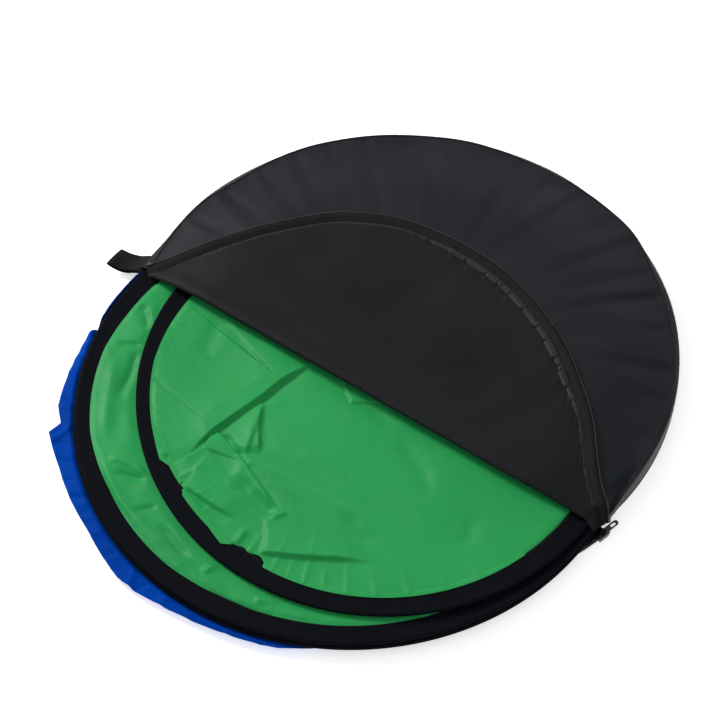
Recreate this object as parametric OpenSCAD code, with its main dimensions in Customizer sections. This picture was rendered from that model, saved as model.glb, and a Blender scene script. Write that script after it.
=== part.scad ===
// Reversible green and blue background disc on a spring hoop, coiled into three
// loops and slid partly out of its round zip case. Millimetres, +Z up. The origin is
// the centre of the underside of the case's bottom panel. The fold of the flap
// runs along X and the mouth of the case faces -Y.

/* [Case] */
// Radius of the bottom panel, where the cloth meets the seams
case_r = 309; // [306:0.5:312]
// Distance from the case's centre forward to the fold of the flap
fold_y = 78; // [74:1:80]
// Distance from the case's centre forward to the ends of the side wall
mouth_y = 52; // [48:1:54]
// Thickness of the bottom panel with its lining
bottom_t = 1.6; // [1.2:0.1:1.8]
// Thickness of the case cloth
cloth_t = 1.2; // [0.8:0.1:1.2]
// Height of the side wall's top edge
wall_top = 29; // [28.5:0.1:29.5]
// Height of the crowned top panel at its middle
crown_top = 41; // [39:0.5:41]
// Radius of the flat middle of the top panel
crown_flat_r = 190; // [150:5:220]
// Radius of the piping cord in the seams
piping_r = 1.6; // [1:0.1:1.8]

/* [Flap] */
// How far the open flap reaches behind the case's centre
flap_reach = 135; // [130:1:140]
// Height of the open flap's underside
flap_z = 41.3; // [41.3:0.1:41.5]
// Width of the gathered hem inside the zip tape
hem_w = 9; // [6:1:12]
// Width of one zip tape
tape_w = 12; // [10:0.5:13]
// Thickness of a zip tape
tape_t = 0.7; // [0.5:0.1:0.8]
// Radius of a zip coil
coil_r = 1.3; // [1:0.1:1.4]

/* [Zip slider] */
// Where the lower zip ends, in degrees in front of the case's side
zip_end_a = 12.1; // [11:0.1:13]
// Length of the slider along the zip
slider_l = 13; // [11:1:14]
// Thickness of the slider's plates
slider_plate_t = 1; // [0.8:0.1:1]
// Length of the pull tab from its pivot
tab_l = 23; // [18:1:28]
// Width of the pull tab
tab_w = 6.4; // [6:0.2:7]

/* [Handle] */
// Width of the webbing
webbing_w = 25; // [20:1:25]
// Thickness of the webbing
webbing_t = 1.6; // [1.2:0.1:1.8]
// Length of the loop from its hinge
handle_l = 34; // [30:1:50]

/* [Disc] */
// How far the disc stands out of the case, from the fully stowed place
disc_out = 98; // [90:1:104]
// Outer radius of the lower loop
disc_r = 303.6; // [298:0.1:304]
// Mean outer radius of the upper loop, about the lower loop's centre
upper_r = 272.3; // [266:0.1:273]
// How far the upper loop is shifted sideways off the lower one
upper_shift = 34; // [28:1:34]
// Direction of that shift, in degrees from +X
upper_shift_a = 50; // [40:1:60]
// How far the upper loop is out of round
upper_oval = 5.5; // [0:0.5:6]
// Width of the rim sleeve
band_w = 25; // [22:1:26]
// Thickness of the rim sleeve where it holds the hoop
band_t = 5; // [4.6:0.1:5]
// Height of the spring strip
strip_h = 3.4; // [3:0.1:3.4]
// Thickness of the spring strip
strip_t = 1; // [0.8:0.1:1]

/* [Hidden] */
$fn = 96;

gap = 0.1; // between pieces that are sewn together
case_black = [0.12, 0.13, 0.15];
lining_black = [0.1, 0.1, 0.1];
trim_black = [0.06, 0.06, 0.07];
steel = [0.45, 0.46, 0.48];
chroma_green = [0.18, 0.57, 0.3];
chroma_blue = [0.06, 0.27, 0.61];

// Case: the rear half is a closed pocket between the two corners of the fold
wall_r = case_r + cloth_t;
corner_a = asin(mouth_y / case_r);
rear_sweep = 180 + 2 * corner_a;
fold_a = asin(fold_y / case_r);
piping_path_r = wall_r + piping_r + gap;
half_plane = 2 * wall_r;

// Flap: a segment of a circle through both corners and the flap's tip
corner_x = sqrt(case_r * case_r - fold_y * fold_y);
flap_rise = flap_reach + fold_y;
flap_r = (corner_x * corner_x + flap_rise * flap_rise) / (2 * flap_rise);
flap_cy = flap_reach - flap_r;
flap_corner_a = asin((flap_r - flap_rise) / flap_r);
flap_face_z = flap_z + cloth_t + gap;

// Lower zip: its tape leaves the bottom panel's edge and carries the coil
zip_sweep = 180 - 2 * zip_end_a;
tape_in_r = case_r - 6;
tape_out_r = case_r + 8.2;
coil_path_r = tape_out_r + coil_r + gap;
coil_z = 3.2;
coil_end = 0.4; // degrees left free at each end of the lower coil for its stop
slider_a = -zip_end_a - 1.5;
slider_in_r = coil_path_r - 5.2;
slider_out_r = coil_path_r + 3.2;
slider_bottom = 0.4;
slider_top = 6;
bridge_top = 8.7;
bridge_w = 2.2;
bridge_l = 8.4;
bridge_post = 1.2;
pivot_z = 7;
pivot_r = 0.6;

// Handle: a flattened loop that hinges on a short anchor at the left corner
handle_y = -68;
handle_z = 13.8;
anchor_x = -case_r - 6;
hinge_x = anchor_x - 1.3;
loop_end_r = 5.6;
loop_end_x = hinge_x - handle_l + loop_end_r;

// Hoop: three turns, each at its own level, closed behind the middle of the case
level_z = [12, 17.5, 23.5];
disc_y = -disc_out;
turns = 3;
steps = 48;
stations = turns * steps;
lower_path_r = disc_r - band_w / 2;
middle_path_r = lower_path_r - 2;
tuck_r = 232; // where the returning strand passes inside the others
entry_r = [tuck_r, middle_path_r, middle_path_r];
exit_r = [middle_path_r, middle_path_r, tuck_r];
cloth_r = middle_path_r - band_w / 2 - 1.2;
cloth_back = 180; // the cloth ends in front of the returning strand
cloth_top = 28;
green_low = 14.6;
green_step = 20.6;
blue_low = 9.6;
blue_high = 14.3;

function smooth(t) = let (c = min(max(t, 0), 1)) c * c * (3 - 2 * c);
function mix(a, b, t) = a + (b - a) * t;

// Distance of turn j's centre line from the disc's centre, in direction a
function turn_r(j, a) = j == 0 ? lower_path_r
    : j == 1 ? middle_path_r
    : upper_r - band_w / 2 + upper_shift * cos(a - upper_shift_a) - upper_oval * cos(2 * (a - upper_shift_a));

// p is the angle passed in turn j, counted from straight behind the centre
function path_r(j, p) = p < 180
    ? mix(entry_r[j], turn_r(j, p + 90), smooth((p - 10) / 40))
    : mix(exit_r[j], turn_r(j, p + 90), smooth((350 - p) / 40));
function path_z(j, p) = p < 180
    ? mix(level_z[(j + 2) % 3], level_z[j], smooth((p + 15) / 30))
    : mix(level_z[j], level_z[(j + 1) % 3], smooth((p - 345) / 30));

// Station i of the hoop: its angle, radius and height
function station(i) = let (j = floor(i / steps) % turns, p = (i % steps) * 360 / steps)
    [p + 90, path_r(j, p), path_z(j, p)];

// A section of [outward, up] points carried along stations first to last
module along_hoop(section, first, last) {
    loop = last - first == stations;
    n = len(section);
    count = loop ? stations : last - first + 1;
    points = [for (i = [0:count - 1]) let (s = station(first + i))
        for (q = section) [cos(s[0]) * (s[1] + q[0]), sin(s[0]) * (s[1] + q[0]) + disc_y, s[2] + q[1]]];
    sides = [for (i = [0:(loop ? count : count - 1) - 1]) for (k = [0:n - 1])
        [i * n + k, i * n + (k + 1) % n, ((i + 1) % count) * n + (k + 1) % n, ((i + 1) % count) * n + k]];
    ends = loop ? [] : [[for (k = [n - 1:-1:0]) k], [for (k = [0:n - 1]) (count - 1) * n + k]];
    polyhedron(points, concat(sides, ends), convexity = 8);
}

// A section drawn in [radius, height], turned about Z from angle a through sweep
module arc(a, sweep) {
    rotate([0, 0, a]) rotate_extrude(angle = sweep) children();
}

// Everything behind the fold
module behind_fold() {
    translate([-half_plane, -fold_y, -1]) cube([2 * half_plane, 2 * half_plane, 2 * crown_top]);
}

module case_bottom_panel() {
    color(lining_black) cylinder(r = case_r, h = bottom_t);
}

module case_top_panel() {
    under = crown_top - cloth_t;
    color(case_black) intersection() {
        rotate_extrude() polygon([[0, under], [crown_flat_r, under], [wall_r, wall_top],
            [wall_r, wall_top + cloth_t], [crown_flat_r, crown_top], [0, crown_top]]);
        behind_fold();
    }
}

module case_side_wall() {
    color(case_black) arc(-corner_a, rear_sweep)
        translate([case_r, bottom_t]) square([cloth_t, wall_top - bottom_t]);
}

module seam_piping(z, end_a) {
    color(trim_black) arc(-end_a, 180 + 2 * end_a) translate([piping_path_r, z]) circle(r = piping_r);
}

module top_seam_piping() {
    seam_piping(wall_top + cloth_t / 2, fold_a);
}

module bottom_seam_piping() {
    seam_piping(piping_r + 0.4, corner_a);
}

module lower_zip_tape() {
    lift = bottom_t + gap;
    color(trim_black) arc(180 + zip_end_a, zip_sweep) polygon([[tape_in_r, lift], [case_r, lift],
        [tape_out_r, coil_z - tape_t / 2], [tape_out_r, coil_z + tape_t / 2],
        [case_r, lift + tape_t], [tape_in_r, lift + tape_t]]);
}

module lower_zip_coil() {
    color(trim_black) arc(180 + zip_end_a + coil_end, zip_sweep - 2 * coil_end)
        translate([coil_path_r, coil_z]) circle(r = coil_r);
}

module lower_zip_stops() {
    side = 2 * coil_r + 1;
    thick = 1.6;
    color(steel) for (a = [-zip_end_a, 180 + zip_end_a]) rotate([0, 0, a])
        translate([coil_path_r - coil_r, -thick / 2, coil_z - side / 2]) cube([side, thick, side]);
}

module handle_anchor_patch() {
    inner_x = -disc_r - 1;
    color(trim_black) translate([anchor_x, handle_y - webbing_w / 2, handle_z - webbing_t / 2])
        cube([inner_x - anchor_x, webbing_w, webbing_t]);
}

module flap_panel() {
    color(lining_black) translate([0, 0, flap_z]) linear_extrude(cloth_t) intersection() {
        translate([0, flap_cy]) circle(r = flap_r);
        translate([-half_plane, -fold_y]) square([2 * half_plane, half_plane]);
    }
}

// A section in [distance in from the flap's edge, height], along the flap's arc
module along_flap(trim_a) {
    translate([0, flap_cy, 0]) arc(flap_corner_a + trim_a, 180 - 2 * (flap_corner_a + trim_a))
        translate([flap_r, 0]) children();
}

module flap_hem() {
    color(lining_black) along_flap(3)
        translate([-tape_w - hem_w - gap, flap_face_z]) square([hem_w, tape_t]);
}

module flap_zip_tape() {
    color(trim_black) along_flap(1) translate([-tape_w, flap_face_z]) square([tape_w, tape_t]);
}

module flap_zip_coil() {
    color(trim_black) along_flap(1) translate([coil_r + gap, flap_z + coil_r]) circle(r = coil_r);
}

module flap_zip_stops() {
    side = 2 * coil_r;
    stop_sweep = 0.4;
    color(steel) for (mirrored = [0, 1]) mirror([mirrored, 0, 0]) translate([0, flap_cy, 0])
        arc(flap_corner_a + 0.4, stop_sweep) translate([flap_r + gap, flap_z]) square(side);
}

// Carries a piece drawn at the slider's place: X outward, Y along the zip
module on_slider() {
    rotate([0, 0, slider_a]) children();
}

module zip_slider_body() {
    width = slider_out_r - slider_in_r;
    nose_l = 3;
    color(steel) on_slider() translate([slider_in_r, -slider_l / 2, 0]) {
        difference() {
            translate([0, 0, slider_bottom]) cube([width, slider_l, slider_top - slider_bottom]);
            translate([-1, -1, slider_bottom + slider_plate_t])
                cube([width - 1 + slider_plate_t - 0.6, slider_l + 2,
                    slider_top - slider_bottom - 2 * slider_plate_t]);
            for (side = [0, 1]) translate([0, side * slider_l, -1]) rotate([0, 0, 45])
                cube([nose_l, nose_l, 2 * slider_top], center = true);
        }
    }
}

module zip_slider_bridge() {
    mid_r = (slider_in_r + slider_out_r) / 2;
    color(steel) on_slider() translate([mid_r - bridge_w / 2, -bridge_l / 2, slider_top]) difference() {
        cube([bridge_w, bridge_l, bridge_top - slider_top]);
        translate([-1, bridge_post, -1])
            cube([bridge_w + 2, bridge_l - 2 * bridge_post, bridge_top - slider_top - 0.8 + 1]);
    }
}

module zip_pull_tab() {
    mid_r = (slider_in_r + slider_out_r) / 2;
    tab_t = 1;
    arm_w = 1.5;
    eye_l = bridge_l / 2 + 1.4;
    hole_r = 1.5;
    hole_y = tab_l - 5;
    color(steel) on_slider() translate([mid_r, 0, pivot_z]) {
        rotate([0, 90, 0]) cylinder(r = pivot_r, h = tab_w, center = true);
        translate([0, 0, -tab_t / 2]) linear_extrude(tab_t) difference() {
            union() {
                translate([-tab_w / 2, 0]) square([tab_w, tab_l - tab_w / 2]);
                translate([0, tab_l - tab_w / 2]) circle(r = tab_w / 2);
            }
            translate([-tab_w / 2 + arm_w, -1]) square([tab_w - 2 * arm_w, eye_l + 1]);
            for (y = [hole_y - 4, hole_y]) translate([0, y]) circle(r = hole_r);
            translate([-hole_r, hole_y - 4]) square([2 * hole_r, 4]);
        }
    }
}

// A drop shape seen from the side, drawn in [outward, up] from the hinge: it
// widens from half_start at start to a round end of radius end_r
module drop(start, half_start, end_r) {
    far = hinge_x - loop_end_x;
    polygon([[start, -half_start], [far, -end_r], [far, end_r], [start, half_start]]);
    translate([far, 0]) circle(r = end_r);
}

// The webbing is folded back on itself and sewn flat near the hinge
module handle_webbing() {
    root_gap = 0.3;
    sewn_l = 9;
    color(trim_black) translate([hinge_x, handle_y + webbing_w / 2, handle_z]) rotate([90, 0, 0])
        mirror([1, 0, 0]) linear_extrude(webbing_w) difference() {
            drop(root_gap, webbing_t / 2, loop_end_r);
            drop(sewn_l, 1.2, loop_end_r - webbing_t);
        }
}

module handle_stitching() {
    thread = 0.6;
    box_l = 5;
    box_w = webbing_w - 6;
    slope = atan((loop_end_r - webbing_t / 2) / (handle_l - loop_end_r));
    color(steel) translate([hinge_x - 1.2, handle_y, handle_z]) rotate([0, slope, 0])
        translate([-box_l, 0, webbing_t / 2 + gap + 0.1]) {
            for (x = [0, box_l - thread]) translate([x, -box_w / 2, 0]) cube([thread, box_w, thread / 2]);
            for (y = [-box_w / 2, box_w / 2 - thread]) translate([0, y, 0]) cube([box_l, thread, thread / 2]);
        }
}

// The strip stands on edge near the outside of the sleeve
strip_in = band_w / 2 - 2.8;

module spring_hoop() {
    color(steel) along_hoop([[strip_in, -strip_h / 2], [strip_in + strip_t, -strip_h / 2],
        [strip_in + strip_t, strip_h / 2], [strip_in, strip_h / 2]], 0, stations);
}

// A crimped channel that holds the two ends of the strip together
module hoop_splice_sleeve() {
    wall = 0.3;
    play = 0.05;
    first = steps + 34;
    last = first + 1;
    in = strip_in - play;
    out = strip_in + strip_t + play;
    h = strip_h / 2 + play;
    color(steel) along_hoop([[in - wall, -h - wall], [out + wall, -h - wall], [out + wall, -h], [in, -h],
        [in, h], [out + wall, h], [out + wall, h + wall], [in - wall, h + wall]], first, last);
}

// The sleeve is folded round the hoop and is open along its inner edge
module rim_sleeve() {
    wall = 0.4;
    lip = 1;
    half = band_w / 2;
    pocket = half - 4.4;
    throat = pocket - 2.5;
    tall = band_t / 2;
    color(trim_black) along_hoop([[-half, -lip], [throat, -lip], [pocket, -tall], [half, -tall],
        [half, tall], [pocket, tall], [throat, lip], [-half, lip], [-half, lip - wall],
        [throat, lip - wall], [pocket + wall, tall - wall], [half - wall, tall - wall],
        [half - wall, -tall + wall], [pocket + wall, -tall + wall], [throat, -lip + wall],
        [-half, -lip + wall]], 0, stations);
}

// One thread row along the upper face of the sleeve, near its inner edge
module rim_stitching() {
    thread = 0.7;
    row = -band_w / 2 + 2.5;
    low = 1 + gap;
    color(steel) along_hoop([[row, low], [row + thread, low], [row + thread, low + thread / 2],
        [row, low + thread / 2]], 0, stations);
}

// A layer of folded cloth, cut off in front of the returning strand
module cloth_layer(low, high) {
    translate([0, disc_y, low]) linear_extrude(high - low) intersection() {
        children();
        translate([-half_plane, -half_plane]) square([2 * half_plane, half_plane + cloth_back]);
    }
}

module green_panel() {
    clear = band_w / 2 + 1;
    color(chroma_green) union() {
        cloth_layer(green_low, green_step) circle(r = cloth_r);
        cloth_layer(green_step, cloth_top) polygon([for (a = [0:5:355])
            (turn_r(2, a) - clear) * [cos(a), sin(a)]]);
    }
}

// The blue side is under the green one and spills out in tufts at the left
module blue_panel() {
    tuft_in = disc_r + 0.6;
    tuft_h = 3;
    tufts = [[197, 15, 20], [213.5, 14, 29], [229, 13, 23], [243.5, 13, 17]];
    color(chroma_blue) {
        cloth_layer(blue_low, blue_high) circle(r = cloth_r);
        for (t = tufts) translate([0, disc_y, 0]) arc(t[0], t[1])
            translate([tuft_in, blue_low]) square([t[2], tuft_h]);
    }
}

case_bottom_panel();
case_top_panel();
case_side_wall();
top_seam_piping();
bottom_seam_piping();
lower_zip_tape();
lower_zip_coil();
lower_zip_stops();
handle_anchor_patch();
flap_panel();
flap_hem();
flap_zip_tape();
flap_zip_coil();
flap_zip_stops();
zip_slider_body();
zip_slider_bridge();
zip_pull_tab();
handle_webbing();
handle_stitching();
spring_hoop();
hoop_splice_sleeve();
rim_sleeve();
rim_stitching();
green_panel();
blue_panel();
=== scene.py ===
"""Looks of the collapsible background disc in its round zip case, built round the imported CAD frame.

Points are written in millimetres, in the row frame, and become metres when a mesh is made.
"""

import math

import bpy
import numpy as np
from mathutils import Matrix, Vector


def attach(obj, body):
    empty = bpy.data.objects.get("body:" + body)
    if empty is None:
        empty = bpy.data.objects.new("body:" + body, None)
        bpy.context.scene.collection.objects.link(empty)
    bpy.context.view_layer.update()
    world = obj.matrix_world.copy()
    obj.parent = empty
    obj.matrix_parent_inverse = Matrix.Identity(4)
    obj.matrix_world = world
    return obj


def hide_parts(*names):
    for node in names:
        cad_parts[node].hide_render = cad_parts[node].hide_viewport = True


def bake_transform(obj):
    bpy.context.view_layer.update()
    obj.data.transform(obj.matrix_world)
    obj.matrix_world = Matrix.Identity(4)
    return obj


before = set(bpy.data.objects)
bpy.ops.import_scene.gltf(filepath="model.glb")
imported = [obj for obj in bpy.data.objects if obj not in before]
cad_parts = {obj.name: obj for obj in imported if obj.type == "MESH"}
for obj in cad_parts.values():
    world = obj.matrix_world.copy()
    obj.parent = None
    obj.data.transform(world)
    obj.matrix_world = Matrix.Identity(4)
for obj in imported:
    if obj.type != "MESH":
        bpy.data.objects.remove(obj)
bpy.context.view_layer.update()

MM = 0.001

# Camera: the photograph's viewing angle
VIEW_AZIMUTH = 34.9
VIEW_ELEVATION = 53.2
VIEW_TARGET = Vector((-0.0296, -0.0384, 0.015))
VIEW_DISTANCE = 3.0
LENS = 135.5

# Case
FOLD_Y = -78.0
CROWN_Z = 37.2
SEAM_Z = 29.5
WALL_R = 306.3
WALL_CLEAR_X = 305.2
BOTTOM_R = 304.0
CLOTH_T = 0.9
# Radius of the top seam by angle: the soft case is a little out of round
SEAM_RADII = [(-90, 320), (-15, 314.5), (-8, 307), (0, 303), (14, 300), (25, 302), (40, 300),
              (50, 298.5), (57, 302), (66, 306), (78, 303), (90, 299.5), (100, 301), (111, 303),
              (127, 301), (144, 303.5), (152, 302), (165, 298.5), (176, 303), (187, 302.5),
              (195, 302), (270, 302)]
SEAM_START = 195.4
SEAM_END = -14.2
RIGHT_END_Z = 16.5
LEFT_END_Z = 23.5
RIGHT_DROP_A = 4
LEFT_DROP_A = 172

# Flap: the zip edge while it lies open over the case
FLAP_EDGE = [(-289, -84), (-276, -68), (-258, -43), (-233, -4), (-198, 45), (-160, 88), (-125, 110),
             (-88, 126), (-42, 133), (4, 134), (42, 129), (76, 119), (118, 100), (148, 82), (176, 60),
             (222, 18), (250, -18), (273, -46), (292, -64), (304, -76)]
NOSE_Y = -85.5
NOSE_DROP = 2.4
FLAP_LIFT = 2.2
FLAP_COIL_OUT = 12.0
FLAP_COIL_LIFT = 2.4

# Zips and piping
COIL_R = 318.5
COIL_Z = 3.2
TOOTH_EVERY = 1.9
CORD_R = 1.35

# Carry loop
HANDLE_Y = -68.0
WEB_W = 25.0

# Disc
DISC_Y = -98.0
DISC_R = 303.6
BAND_W = 25.0
LEVELS = (12.0, 17.5, 23.5)
LOWER_PATH = DISC_R - BAND_W / 2
MIDDLE_PATH = LOWER_PATH - 2
TUCK_R = 232.0
UPPER_R = 272.3
UPPER_SHIFT = 34.0
UPPER_SHIFT_A = math.radians(50)
UPPER_OVAL = 5.5
CLOTH_BACK = 178.0
TURN_LENGTH = 1830

# Green cloth: heights of the upper sheet's crown and of its edge where it lies free, tucked in, at the
# rear or under the rear strands, and the heights between which it stays
GREEN_TOP = 24.7
RIDGE_LIMIT = 4.6
EDGE_FREE = 25.0
EDGE_TUCKED = 23.3
EDGE_REAR = 26.2
EDGE_UNDER = 19.4
REAR_CEILING = 27.6
REAR_FLOOR = 26.6
OVER_RIM = 25.35
CRESCENT_TOP = 19.8

# Blue cloth: the lowest height over the zip tape and over the floor, and the tape's outer radius
BLUE_TOP = 8.95
OVER_TAPE = 9.0
OVER_FLOOR = 6.3
TAPE_EDGE_R = 324
FRINGE_START = 282.0
FRINGE_MIDDLE = 310


# ---------------------------------------------------------------- numbers

def smooth(t):
    """Eases from 0 to 1 while t goes from 0 to 1."""
    c = np.clip(t, 0, 1)
    return c * c * (3 - 2 * c)


def mix(a, b, t):
    return a + (b - a) * t


def rounded(t):
    """A quarter round: 0 at t = 0, rising steeply at first, and 1 from t = 1 on."""
    return np.sqrt(np.clip(1 - (1 - np.clip(t, 0, 1)) ** 2, 0, 1))


def read_off(angle, table):
    """The value at each angle, from a table of (angle, value) pairs."""
    angles, values = zip(*table)
    return np.interp(angle, angles, values)


def bell(t):
    """1 at t = 0, falling off evenly on both sides."""
    return np.exp(-t ** 2)


def arc_length(degrees, radius):
    return degrees * np.pi / 180 * radius


def ring(radius, degrees, height):
    """Points at the given radius, angle and height round the upright axis."""
    turn = np.radians(degrees)
    return np.stack([radius * np.cos(turn), radius * np.sin(turn), height + np.zeros(len(turn))], 1)


def running_length(points):
    """How far along a line of points each of them lies."""
    return np.concatenate([[0], np.cumsum(np.linalg.norm(np.diff(points, axis=0), axis=1))])


def ripple(x, y, size, seed, terms=6):
    """Waves of about the given size in every direction, roughly from -1 to 1."""
    dice = np.random.RandomState(seed)
    total = 0.0
    for _ in range(terms):
        turn = dice.uniform(0, 2 * math.pi)
        pace = 2 * math.pi / (size * dice.uniform(0.7, 1.6))
        start = dice.uniform(0, 2 * math.pi)
        total = total + np.sin(pace * (x * math.cos(turn) + y * math.sin(turn)) + start)
    return total / (1.3 * math.sqrt(terms))


def along_line(x, y, points):
    """Each place's signed distance from a polyline, its share of the way along, and how far past an end."""
    best = np.full(np.shape(x), 1e9)
    signed = np.zeros(np.shape(x))
    past = np.zeros(np.shape(x))
    weighed = np.zeros(np.shape(x))
    weight = np.zeros(np.shape(x))
    spans = [math.dist(points[i], points[i + 1]) for i in range(len(points) - 1)]
    total = sum(spans)
    done = 0.0
    for i, span in enumerate(spans):
        (x0, y0), (x1, y1) = points[i], points[i + 1]
        ux, uy = (x1 - x0) / span, (y1 - y0) / span
        t = (x - x0) * ux + (y - y0) * uy
        held = np.clip(t, 0, span)
        away = np.hypot(x - x0 - ux * held, y - y0 - uy * held)
        side = np.where(ux * (y - y0) - uy * (x - x0) >= 0, 1.0, -1.0)
        closer = away < best
        best = np.where(closer, away, best)
        signed = np.where(closer, away * side, signed)
        past = np.where(closer, np.abs(t - held), past)
        near = 1 / (away * away + 4) ** 3
        weighed = weighed + near * (done + held) / total
        weight = weight + near
        done += span
    return signed, weighed / weight, past


def ends_fade(share, past, first, last, reach):
    """How strong a fold is: it dies away over its first and last shares, and past its ends."""
    fade = smooth(share / max(first, 1e-6)) * smooth((1 - share) / max(last, 1e-6))
    return fade * bell(past / reach)


def crease(x, y, points, height, soft, sharp, side, first=0.25, last=0.25):
    """A fold that slopes gently on its high side and drops off steeply on the other."""
    signed, share, past = along_line(x, y, points)
    d = signed * side
    low = 1.3 * bell(np.abs(d) / sharp) - 0.3 * bell(np.abs(d) / (4 * sharp + 3))
    shape = np.where(d > 0, np.exp(-np.abs(d) / soft), low)
    return height * shape * ends_fade(share, past, first, last, 4.0)


def pleat(x, y, points, height, width, first=0.3, last=0.3):
    """A round ridge, or a valley where height is below zero."""
    signed, share, past = along_line(x, y, points)
    return height * bell(signed / width) * ends_fade(share, past, first, last, 4.0)


def spline(points, count):
    """Evenly spaced points on a smooth line through the given ones."""
    p = np.array(points, float)
    p = np.vstack([2 * p[0] - p[1], p, 2 * p[-1] - p[-2]])
    fine = []
    for i in range(1, len(p) - 2):
        for t in np.linspace(0, 1, 24, endpoint=False):
            a, b, c, d = p[i - 1], p[i], p[i + 1], p[i + 2]
            fine.append(0.5 * (2 * b + (c - a) * t + (2 * a - 5 * b + 4 * c - d) * t * t
                               + (3 * b - a - 3 * c + d) * t ** 3))
    fine.append(p[-2])
    fine = np.array(fine)
    way = running_length(fine)
    wanted = np.linspace(0, way[-1], count)
    return np.stack([np.interp(wanted, way, fine[:, k]) for k in range(p.shape[1])], axis=1)


# ---------------------------------------------------------------- meshes

def uv_grid(along, across):
    return np.stack(np.meshgrid(along, across, indexing="ij"), -1).reshape(-1, 2)


def set_uv(mesh, uv):
    """Writes one place in millimetres for each point to the mesh's only UV layer."""
    layer = mesh.uv_layers[0] if mesh.uv_layers else mesh.uv_layers.new(name="along")
    corner = np.zeros(len(mesh.loops), np.int32)
    mesh.loops.foreach_get("vertex_index", corner)
    layer.data.foreach_set("uv", (np.asarray(uv, float)[corner] * MM).astype(np.float32).ravel())


def add_mesh(name, points, faces, material, uv=None):
    """A new smooth piece; faces are an array of quads, or a list where their lengths differ."""
    mesh = bpy.data.meshes.new(name)
    loops = faces.tolist() if isinstance(faces, np.ndarray) else faces
    mesh.from_pydata((np.asarray(points, float) * MM).tolist(), [], loops)
    mesh.materials.append(material)
    mesh.polygons.foreach_set("use_smooth", [True] * len(mesh.polygons))
    if uv is not None:
        set_uv(mesh, uv)
    mesh.update()
    piece = bpy.data.objects.new(name, mesh)
    bpy.context.scene.collection.objects.link(piece)
    return piece


def grid_faces(rows, columns, wrap_rows=False, wrap_columns=False, offset=0):
    i, j = np.meshgrid(np.arange(rows if wrap_rows else rows - 1),
                       np.arange(columns if wrap_columns else columns - 1), indexing="ij")
    i2, j2 = (i + 1) % rows, (j + 1) % columns
    faces = np.stack([i * columns + j, i2 * columns + j, i2 * columns + j2, i * columns + j2], -1)
    return faces.reshape(-1, 4) + offset


def grid_piece(name, grid, material, wrap_rows=False, wrap_columns=False):
    """A sheet from a grid of points; its UV runs along the rows and across them in metres."""
    rows, columns = grid.shape[:2]
    step = np.linalg.norm(np.diff(grid, axis=0), axis=2).mean(axis=1)
    over = np.linalg.norm(np.diff(grid, axis=1), axis=2).mean(axis=0)
    u = np.concatenate([[0], np.cumsum(step)])
    v = np.concatenate([[0], np.cumsum(over)])
    faces = grid_faces(rows, columns, wrap_rows, wrap_columns)
    return add_mesh(name, grid.reshape(-1, 3), faces, material, uv_grid(u, v))


def thicken(piece, thickness, offset=-1.0):
    """Gives a sheet its cloth's thickness, as mesh."""
    modifier = piece.modifiers.new("thickness", "SOLIDIFY")
    modifier.thickness = thickness * MM
    modifier.offset = offset
    freeze(piece)


def freeze(piece):
    """Turns a piece's modifiers into plain mesh."""
    graph = bpy.context.evaluated_depsgraph_get()
    made = bpy.data.meshes.new_from_object(piece.evaluated_get(graph))
    piece.modifiers.clear()
    piece.data = made


def frames_along(path, closed=False):
    """Direction, sideways (to the right, level) and up for each point of a path."""
    if closed:
        along = np.roll(path, -1, axis=0) - np.roll(path, 1, axis=0)
    else:
        along = np.gradient(path, axis=0)
    along = along / np.linalg.norm(along, axis=1)[:, None]
    side = np.cross(along, [0, 0, 1])
    side = side / np.linalg.norm(side, axis=1)[:, None]
    up = np.cross(side, along)
    return along, side, up


def sweep(name, path, section, material, closed=False):
    """Carries a closed section of [sideways, up] points along a path. Section may differ at each point."""
    _, side, up = frames_along(path, closed)
    section = np.asarray(section, float)
    if section.ndim == 2:
        section = np.repeat(section[None], len(path), axis=0)
    grid = path[:, None] + section[..., 0:1] * side[:, None] + section[..., 1:2] * up[:, None]
    rows, columns = grid.shape[:2]
    faces = grid_faces(rows, columns, closed, True).tolist()
    if not closed:
        faces.append(list(range(columns)))
        faces.append([(rows - 1) * columns + k for k in range(columns - 1, -1, -1)])
    uv = uv_grid(running_length(path), running_length(section[0]))
    return add_mesh(name, grid.reshape(-1, 3), faces, material, uv)


def round_section(radius, sides):
    a = np.linspace(0, 2 * math.pi, sides, endpoint=False)
    return np.stack([radius * np.cos(a), radius * np.sin(a)], 1)


# One end of a link as [up, along, side] shares of its size: a square with cut corners
LINK = np.array([[-0.5, -0.25, -0.5], [-0.5, 0.25, -0.5], [-0.3, 0.5, -0.5], [0.3, 0.5, -0.5],
                 [0.5, 0.25, -0.5], [0.5, -0.25, -0.5], [0.3, -0.5, -0.5], [-0.3, -0.5, -0.5]])


def links(name, path, every, size, material, slant=0.0):
    """Short eight-sided links, such as zip teeth or stitches, set along a path: size is [along, side, up]."""
    way = running_length(path)
    count = int(way[-1] / every)
    at = (np.arange(count) + 0.5) * way[-1] / count
    centre = np.stack([np.interp(at, way, path[:, k]) for k in range(3)], 1)
    along, side, up = frames_along(centre)
    shape = np.vstack([LINK[:, [2, 0, 1]], (LINK * [1, 1, -1])[:, [2, 0, 1]]]) * size
    shape[:, 1] += slant * shape[:, 0]
    points = (centre[:, None] + shape[None, :, 0:1] * along[:, None]
              + shape[None, :, 1:2] * side[:, None] + shape[None, :, 2:3] * up[:, None])
    faces = []
    for n in range(count):
        base = 16 * n
        for k in range(8):
            faces.append([base + k, base + (k + 1) % 8, base + 8 + (k + 1) % 8, base + 8 + k])
        faces.append([base + k for k in range(7, -1, -1)])
        faces.append([base + 8 + k for k in range(8)])
    flat = points.reshape(-1, 3)
    return add_mesh(name, flat, faces, material, flat[:, :2])


# ---------------------------------------------------------------- materials

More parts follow.
